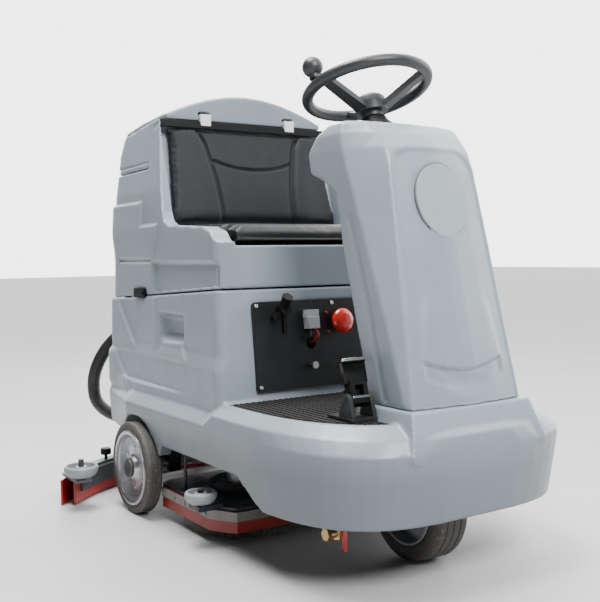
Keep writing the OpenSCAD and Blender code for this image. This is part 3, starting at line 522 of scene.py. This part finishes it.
def fairing_relief(p, n):
    y, z = p[:, 1], p[:, 2]
    front = smooth_step(n[:, 0], 0.55, 0.8)
    rise = -0.0045 * step_in(inside(y, z, FRONT_FIELD), 0.007)
    rise += 0.004 * step_in(inside(y, z, INNER_FIELD), 0.012) * smooth_step(-z, -0.66, -0.56)
    lower = 0.418 + 1.9 * y * y
    upper = 0.466 + 1.6 * y * y
    within = smooth_step(np.minimum(z - lower, upper - z), 0.0, 0.006)
    within = within * smooth_step(-np.abs(y), -SCOOP_HALF_WIDTH, 0.010 - SCOOP_HALF_WIDTH)
    slope = np.clip((upper - z) / (upper - lower), 0, 1)
    rise -= SCOOP_DEPTH * within * (1 - slope)
    crease = smooth_step(-to_line(p[:, 0], z, SIDE_CREASE), -0.012, -0.003)
    side_groove = -0.004 * crease * on_side(n) * smooth_step(-z, -0.84, -0.76)
    return outward(n, rise * front + side_groove)


moulded("lower_body", 0.004, 3, body_relief)
moulded("recovery_tank", 0.004, 3, tank_relief)
moulded("tank_lid", 0.004, 4)
moulded("steering_fairing", 0.0045, 5, fairing_relief)


# ---------- padded seat and back ----------

CLOTH_FRAMES = 20
CLOTH_PRESSURE = 4


def stuffed(node, voxel, shrink, cap, seams):
    """A cushion: the CAD solid's skin drawn in by shrink, swollen by cloth pressure up to cap, then sewn."""
    piece = remeshed(node, voxel, 4)
    mesh = piece.data
    facing = normals(mesh)
    start = coords(mesh) - facing * shrink
    put_coords(mesh, start)
    cloth = piece.modifiers.new("swell", "CLOTH")
    cloth.settings.use_pressure = True
    cloth.settings.uniform_pressure_force = CLOTH_PRESSURE
    cloth.settings.effector_weights.gravity = 0
    cloth.settings.tension_stiffness = 20
    cloth.settings.quality = 4
    scene = bpy.context.scene
    for number in range(1, CLOTH_FRAMES + 1):
        scene.frame_set(number)
    swollen = evaluated(piece)
    move = coords(swollen) - start
    bpy.data.meshes.remove(swollen)
    piece.modifiers.clear()
    scene.frame_set(1)
    resting = smooth_step(-facing[:, 2], 0.3, 0.8)
    size = np.linalg.norm(move, axis=1)
    keep = np.minimum(1, cap / np.maximum(size, 1e-9)) * (1 - resting)
    put_coords(mesh, start + move * keep[:, None])
    piece.modifiers.new("finer", "SUBSURF").levels = 1
    bake(piece)
    relieve(piece.data, seams)
    stand_for(piece, node)


# The back's side seams, as distance from the middle and Z, and the smile-shaped seam between them; then the
# seat's seam, X and Z
BACK_SEAM = [(0.182, 1.11), (0.166, 1.068), (0.151, 1.038), (0.139, 0.984), (0.127, 0.926), (0.121, 0.858),
             (0.117, 0.78)]
SMILE_SEAM = [(-0.130, 0.989), (-0.100, 0.978), (-0.060, 0.969), (0.0, 0.965), (0.060, 0.969), (0.100, 0.978),
              (0.130, 0.989)]
SEAT_SEAM = [(0.352, 0.90), (0.352, 0.70)]


def back_seams(p, n):
    """Bolsters stand proud outside the side seams and a flatter pad between them."""
    y, z = np.abs(p[:, 1]), p[:, 2]
    front = smooth_step(n[:, 0], 0.3, 0.7)
    seam = to_line(y, z, BACK_SEAM)
    outer = np.interp(z, [q[1] for q in BACK_SEAM[::-1]], [q[0] for q in BACK_SEAM[::-1]])
    bolster = smooth_step(y - outer, 0.0, 0.02) * smooth_step(-(y - outer), -0.13, -0.03)
    middle_pad = smooth_step(outer - y, 0.0, 0.03)
    smile = to_line(p[:, 1], z, SMILE_SEAM)
    rise = 0.009 * bolster + 0.004 * middle_pad
    rise -= 0.006 * smooth_step(-seam, -0.008, -0.001) + 0.006 * smooth_step(-smile, -0.007, -0.001)
    return outward(n, rise * front)


def seat_seams(p, n):
    """A sewn line parts the front roll from the seat's top."""
    line = to_line(p[:, 0], p[:, 2], SEAT_SEAM)
    return outward(n, -0.005 * smooth_step(-line, -0.007, -0.001) * smooth_step(n[:, 2], 0.3, 0.7))


stuffed("seat_cushion", 0.006, 0.004, 0.010, seat_seams)
stuffed("seat_back", 0.005, 0.003, 0.008, back_seams)


# ---------- tubes, turned pieces and blocks ----------

def smooth_path(points, steps):
    """Points along a Catmull-Rom curve through the given ones."""
    p = [Vector(q) for q in points]
    p = [p[0] * 2 - p[1]] + p + [p[-1] * 2 - p[-2]]
    out = []
    for i in range(1, len(p) - 2):
        a, b, c, d = p[i - 1:i + 3]
        for k in range(steps):
            t = k / steps
            square, cube = (2 * a - 5 * b + 4 * c - d) * t * t, (3 * b - a - 3 * c + d) * t ** 3
            out.append(0.5 * (2 * b + (c - a) * t + square + cube))
    return out + [p[-2]]


def tube(name, path, radius, sides, material, body, slot):
    """A round tube along a path; radius is a function of the distance along it."""
    points, faces = [], []
    side_way = Vector((0.31, 0.9, 0.29))
    travelled = 0.0
    for i, p in enumerate(path):
        if i:
            travelled += (p - path[i - 1]).length
        ahead = (path[min(i + 1, len(path) - 1)] - path[max(i - 1, 0)]).normalized()
        side_way = (side_way - ahead * side_way.dot(ahead)).normalized()
        over = ahead.cross(side_way)
        r = radius(travelled)
        for k in range(sides):
            a = 2 * math.pi * k / sides
            points.append(p + side_way * (r * math.cos(a)) + over * (r * math.sin(a)))
        if i:
            base = (i - 1) * sides
            for k in range(sides):
                after = (k + 1) % sides
                faces.append((base + k, base + after, base + sides + after, base + sides + k))
    faces.append(tuple(range(sides))[::-1])
    faces.append(tuple(range((len(path) - 1) * sides, len(path) * sides)))
    return from_lists(name, points, faces, material, body, slot=slot)


def polar(radius, angle, height=0.0):
    return Vector((radius * math.cos(angle), radius * math.sin(angle), height))


def lathe(name, profile, centre, axis, sides, material, body, slot=None):
    """A closed profile of (radius, distance along the axis) turned about an axis."""
    turn = Vector((0, 0, 1)).rotation_difference(Vector(axis)).to_matrix()
    count = len(profile)
    points = [Vector(centre) + turn @ polar(r, 2 * math.pi * k / sides, h)
              for k in range(sides) for r, h in profile]
    faces = []
    for k in range(sides):
        a, b = k * count, ((k + 1) % sides) * count
        for j in range(count):
            after = (j + 1) % count
            faces.append((a + j, b + j, b + after, a + after))
    piece = from_lists(name, points, faces, material, body, slot=slot)
    piece.modifiers.new("weld", "WELD").merge_threshold = WELD_GAP
    edge = piece.modifiers.new("edge", "BEVEL")
    edge.width = 0.0006
    edge.segments = 2
    edge.angle_limit = math.radians(40)
    piece.modifiers.new("tidy", "WEIGHTED_NORMAL")
    return piece


def block(name, centre, size, material, body, turn, ease, slot):
    """A box with edges eased by ease; turn is a rotation matrix."""
    made = bmesh.new()
    bmesh.ops.create_cube(made, size=1)
    bmesh.ops.scale(made, vec=Vector(size), verts=made.verts)
    bmesh.ops.rotate(made, matrix=turn, verts=made.verts)
    bmesh.ops.translate(made, vec=Vector(centre), verts=made.verts)
    mesh = bpy.data.meshes.new(name)
    made.to_mesh(mesh)
    made.free()
    piece = add(name, mesh, material, body, slot=slot)
    edge = piece.modifiers.new("edge", "BEVEL")
    edge.width = ease
    edge.segments = 3
    piece.modifiers.new("tidy", "WEIGHTED_NORMAL")


def disc_profile(r, h, ease):
    """Profile of a disc from 0 to h with a rounded top edge."""
    return [(0, 0), (r, 0), (r, h - ease), (r - ease * 0.3, h - ease * 0.3), (r - ease, h), (0, h)]


# ---------- suction hose ----------

# Down from the port in the rear wall, round outside the corner and into the squeegee's cuff
HOSE_LINE = [(-0.3665, -0.150, 0.540), (-0.408, -0.156, 0.530), (-0.450, -0.182, 0.502),
             (-0.484, -0.226, 0.460), (-0.508, -0.268, 0.410), (-0.526, -0.296, 0.348),
             (-0.530, -0.306, 0.292), (-0.524, -0.298, 0.236), (-0.504, -0.262, 0.196),
             (-0.474, -0.200, 0.174), (-0.444, -0.128, 0.174), (-0.422, -0.066, 0.184),
             (-0.406, -0.022, 0.186), (-0.402, -0.003, 0.164), (-0.402, 0, 0.134), (-0.402, 0, 0.106)]
HOSE_RADIUS, HOSE_RIB, RIB_HEIGHT = 0.0205, 0.0072, 0.0011
HOSE_SIDES = 24


def ribbed(distance):
    return HOSE_RADIUS + RIB_HEIGHT * math.sin(2 * math.pi * distance / HOSE_RIB)


hose = tube("suction_hose_ribbed", smooth_path([at(*p) for p in HOSE_LINE], 24), ribbed, HOSE_SIDES,
            materials["hose"], None, "hose")
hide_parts("suction_hose")
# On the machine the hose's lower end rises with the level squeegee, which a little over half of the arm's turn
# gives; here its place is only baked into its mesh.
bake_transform(hose)
CUFF = [(0.0225, 0.0), (0.031, 0.0), (0.031, 0.006), (0.028, 0.009), (0.028, 0.024), (0.0225, 0.027)]
CLIP = [(0.0225, -0.005), (0.0242, -0.005), (0.0242, 0.005), (0.0225, 0.005)]
lathe("hose_cuff", CUFF, at(-0.402, 0, 0.1425), (0, 0, 1), 48, materials["hose"], "squeegee", slot="hose")
lathe("hose_clip", CLIP, at(-0.385, -0.1505, 0.538), (-0.95, -0.1, -0.28), 48, materials["bright_steel"],
      "body", slot="bright_steel")


# ---------- tyres and rims ----------

GROOVE_TOP, GROOVE_FLOOR, GROOVE_DEPTH = 0.0022, 0.0014, 0.0026
TREAD_SHARE = 0.74
# Height up the side wall as a share of it, and half width there as a share of the tyre's
SIDE_WALL = [(0.0, 0.90), (0.18, 0.985), (0.40, 0.985), (0.44, 1.0), (0.58, 0.995), (0.8, 0.95), (0.95, 0.86)]


def tyre_skin(node, radius, rim_radius, half_width, grooves, body):
    """A tyre with round shoulders, a raised bead line and grooves round its tread."""
    crown = [(radius, -half_width * TREAD_SHARE)]
    for y in grooves:
        crown += [(radius, y - GROOVE_TOP), (radius - GROOVE_DEPTH, y - GROOVE_FLOOR),
                  (radius - GROOVE_DEPTH, y + GROOVE_FLOOR), (radius, y + GROOVE_TOP)]
    crown.append((radius, half_width * TREAD_SHARE))
    wall = [(rim_radius + (radius - rim_radius) * up, half_width * out) for up, out in SIDE_WALL]
    profile = [(r, -y) for r, y in wall] + crown + wall[::-1]
    tread = lathe(node + "_tread", profile, middle(node), (0, 1, 0), 128, materials["tyre"], body, slot="tyre")
    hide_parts(node)


REAR_RADIUS, REAR_HALF, DRIVE_RADIUS, DRIVE_HALF = 0.127, 0.022, 0.125, 0.046
REAR_RIM, BOLT_CIRCLE = 0.1045, 0.056
for side, sign in (("right", -1), ("left", 1)):
    body = "rear_wheel_" + side
    tyre_skin("rear_tyre_" + side, REAR_RADIUS, REAR_RIM, REAR_HALF, (-0.008, 0.0, 0.008), body)
    hub = middle("rear_rim_" + side)
    face = hub.y + sign * REAR_HALF
    lathe(body + "_ring", [(0.0915, 0), (0.1035, 0), (0.1035, 0.0022), (0.1, 0.0034), (0.0935, 0.0022)],
          (hub.x, face - sign * 0.0005, hub.z), (0, sign, 0), 96, EDGE_METAL, body)
    lathe(body + "_cap", disc_profile(0.0265, 0.018, 0.005), (hub.x, hub.y + sign * 0.012, hub.z),
          (0, sign, 0), 48, materials["wheel_black"], body)
    for k in range(6):
        a = math.pi * (k / 3 + 1 / 6)
        seat = (hub.x + BOLT_CIRCLE * math.cos(a), hub.y + sign * 0.0035, hub.z + BOLT_CIRCLE * math.sin(a))
        lathe(f"{body}_bolt_{k}", disc_profile(0.0055, 0.005, 0.001), seat, (0, sign, 0), 6,
              materials["bright_steel"], body)
DRIVE_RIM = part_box("drive_hub")[1][2] - DRIVE_RADIUS
tyre_skin("drive_tyre", DRIVE_RADIUS, DRIVE_RIM, DRIVE_HALF, (-0.02, 0.0, 0.02), "drive_wheel")


# ---------- disc brushes ----------

BRISTLE_LENGTH = 0.040
TUFT_RINGS = (0.078, 0.098, 0.118, 0.136, 0.152, 0.163)
OUTER_RINGS = 0.15
TUFT_PITCH, TUFT_FIBRES, TUFT_SPREAD = 0.0085, 7, 0.003
ROOT_RADIUS, TIP_RADIUS = 0.0011, 0.0007
HUB_RADIUS, SHAFT_RADIUS = 0.044, 0.0143


def brush_head(side):
    """Brush block with rings of splayed nylon tufts under it; the outer rings lean further out."""
    node = "brush_" + side
    low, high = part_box(node)
    centre = middle(node)
    centre.z = 0
    radius = (high[0] - low[0]) / 2
    block_z = low[2] + BRISTLE_LENGTH
    fibres, faces = [], []
    for ring in TUFT_RINGS:
        tufts = int(2 * math.pi * ring / TUFT_PITCH)
        for k in range(tufts):
            a = 2 * math.pi * (k + rng.uniform(-0.15, 0.15)) / tufts
            for _ in range(TUFT_FIBRES):
                lean = rng.uniform(-0.02, 0.07) + (0.05 if ring > OUTER_RINGS else 0.0)
                turn = rng.uniform(-0.06, 0.06)
                inset = ring - 0.004
                root = centre + Vector(((inset + rng.uniform(-TUFT_SPREAD, TUFT_SPREAD)) * math.cos(a),
                                        (inset + rng.uniform(-TUFT_SPREAD, TUFT_SPREAD)) * math.sin(a),
                                        block_z + 0.001))
                reach = min(radius + 0.002, ring + lean * 0.1 + rng.uniform(-TUFT_SPREAD, TUFT_SPREAD))
                tip = centre + polar(reach, a + turn * 0.15, low[2] + rng.uniform(0.0, 0.002))
                n = len(fibres)
                for end, thick in ((root, ROOT_RADIUS), (tip, TIP_RADIUS)):
                    fibres += [end + polar(thick, 2 * math.pi * q / 3 + a) for q in range(3)]
                faces += [(n, n + 1, n + 4, n + 3), (n + 1, n + 2, n + 5, n + 4), (n + 2, n, n + 3, n + 5),
                          (n + 5, n + 4, n + 3)]
    from_lists(node + "_tufts", fibres, faces, BRISTLE, node, smooth=False)
    rim = radius - 0.003
    under = [(0.030, block_z), (rim - 0.001, block_z), (rim, block_z + 0.002), (rim, block_z + 0.013)]
    over = [(rim - 0.005, block_z + 0.018), (0.06, block_z + 0.018), (HUB_RADIUS, block_z + 0.020)]
    hub = [(HUB_RADIUS, high[2]), (SHAFT_RADIUS, high[2])]
    bore = [(SHAFT_RADIUS, block_z + 0.016), (0.030, block_z + 0.012)]
    head = lathe(node + "_block", under + over + hub + bore, centre, (0, 0, 1), 96, materials["brush"], node,
                 slot="brush")
    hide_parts(node)


brush_head("right")
brush_head("left")


# ---------- plain nodes ----------

REPLACED = {"lower_body", "recovery_tank", "tank_lid", "steering_fairing", "seat_cushion", "seat_back",
            "suction_hose", "rear_tyre_right", "rear_tyre_left", "drive_tyre", "brush_right", "brush_left"}
NO_BEVEL = {"charge_leads", "panel_screws"}
EASED_EDGE = 0.0012
for name in nodes:
    if name not in REPLACED:
        finish_node(name, 0 if name in NO_BEVEL else EASED_EDGE)

for side in ("right", "left"):
    nodes["rear_rim_" + side].data.materials[0] = RIM_METAL


# ---------- small parts the CAD leaves out ----------

def leaning(angle, x, z):
    """A step out of and along something that leans back by the angle."""
    return Vector((x * math.cos(angle) - z * math.sin(angle), 0, x * math.sin(angle) + z * math.cos(angle)))


# The two lamps beside the emergency stop, across and up the control panel from its lower outer corner
PANEL_LEAN = math.atan(20 / 215)
PANEL_CORNER = at(0.4507, -0.253, 0.377)
for name, y, z in (("upper", 0.218, 0.187), ("lower", 0.224, 0.137)):
    lathe("stop_lamp_" + name, disc_profile(0.0048, 0.003, 0.0015),
          PANEL_CORNER + leaning(PANEL_LEAN, 0.0002, z) + Vector((0, y, 0)),
          (math.cos(PANEL_LEAN), 0, math.sin(PANEL_LEAN)), 32, LAMP_LENS, "body")

block("lid_seal", at(-0.0070, 0, 1.0925), (0.005, 0.572, 0.022), materials["soft_black"], "tank",
      Matrix.Rotation(-math.radians(15), 3, "Y"), 0.0018, "soft_black")

# Bright rolled edges on the pedal: out of and along it from its pivot, half length and radius
PEDAL_LEAN = math.radians(14)
PEDAL_PIVOT = at(0.806, -0.216, 0.4033)
PEDAL_EDGES = [("top", 0.0075, 0.0855, 0.0312, 0.0036), ("tread", 0.0115, 0.0040, 0.0215, 0.0030)]
for name, x, z, half, radius in PEDAL_EDGES:
    end = [(radius, half - radius * 0.4), (radius * 0.7, half), (0, half)]
    profile = [(r, -y) for r, y in end[::-1]] + end
    place = PEDAL_PIVOT + leaning(PEDAL_LEAN, x, z)
    lathe("pedal_edge_" + name, profile, place, (0, 1, 0), 32, POLISHED, "pedal")


# ---------- stage, light and camera ----------

def stage_floor():
    t = Tree("studio_floor")
    t.set(Base_Color=t.mix(t.remap(t.noise(3, 4), 0.3, 0.7), (0.46, 0.46, 0.46), (0.5, 0.5, 0.5)),
          Roughness=t.remap(t.noise(40, 3), 0.3, 0.7, 0.5, 0.62))
    half = 30
    corners = [(-half, -half, 0), (half, -half, 0), (half, half, 0), (-half, half, 0)]
    from_lists("studio_floor", corners, [(0, 1, 2, 3)], t.material, None, smooth=False)


def area_light(name, place, size, power):
    """A soft light at a place, aimed at the machine's middle."""
    data = bpy.data.lights.new(name, "AREA")
    data.shape = "RECTANGLE"
    data.size, data.size_y = size
    data.energy = power
    lamp = bpy.data.objects.new(name, data)
    bpy.context.scene.collection.objects.link(lamp)
    lamp.location = place
    lamp.rotation_euler = (MACHINE_MIDDLE - Vector(place)).to_track_quat("-Z", "Y").to_euler()


stage_floor()
MACHINE_MIDDLE = Vector((0, 0, 0.55))
area_light("key", (3.0, -0.35, 2.9), (1.4, 1.4), 185)
area_light("side_fill", (-0.6, -3.6, 2.4), (2.6, 2.0), 4)
area_light("top", (-0.3, -0.7, 4.1), (2.0, 1.6), 300)
area_light("rear", (-3.0, 1.6, 2.4), (2.0, 2.0), 40)
WHITE_WALL = (-0.5, 0.86, 0.25)


def studio_world():
    """White towards the far left and dark elsewhere, so that the driver's right side reads darker."""
    world = bpy.data.worlds.new("studio")
    bpy.context.scene.world = world
    world.use_nodes = True
    made, links = world.node_tree.nodes, world.node_tree.links
    direction = made.new("ShaderNodeTexCoord").outputs["Generated"]
    toward = made.new("ShaderNodeVectorMath")
    toward.operation = "DOT_PRODUCT"
    links.new(direction, toward.inputs[0])
    toward.inputs[1].default_value = WHITE_WALL
    ramp = made.new("ShaderNodeMapRange")
    ramp.interpolation_type = "SMOOTHSTEP"
    links.new(toward.outputs["Value"], ramp.inputs["Value"])
    for key, number in (("From Min", 0.22), ("From Max", 0.68), ("To Min", 0.1), ("To Max", 4.4)):
        ramp.inputs[key].default_value = number
    links.new(ramp.outputs["Result"], made["Background"].inputs["Strength"])
    made["Background"].inputs["Color"].default_value = (0.97, 0.985, 1, 1)


studio_world()


SENSOR_WIDTH, FOCAL_LENGTH = 36, 54.075
CAMERA_PLACE = at(2.3495, -1.3838, 0.7161)
YAW_PITCH_ROLL = (33.513, 2.965, -0.763)


def photo_camera():
    """The photograph's view, from angles in degrees and lengths in millimetres fitted to it."""
    yaw, pitch, roll = (math.radians(a) for a in YAW_PITCH_ROLL)
    forward = Vector((-math.cos(yaw) * math.cos(pitch), math.sin(yaw) * math.cos(pitch), -math.sin(pitch)))
    right = forward.cross(Vector((0, 0, 1))).normalized()
    up = right.cross(forward)
    level = right * math.cos(roll) + up * math.sin(roll)
    tall = up * math.cos(roll) - right * math.sin(roll)
    data = bpy.data.cameras.new("camera")
    data.sensor_width = SENSOR_WIDTH
    data.lens = FOCAL_LENGTH
    camera = bpy.data.objects.new("camera", data)
    bpy.context.scene.collection.objects.link(camera)
    turned = Matrix((level, tall, -forward)).transposed().to_4x4()
    camera.matrix_world = Matrix.Translation(CAMERA_PLACE) @ turned
    bpy.context.scene.camera = camera


photo_camera()
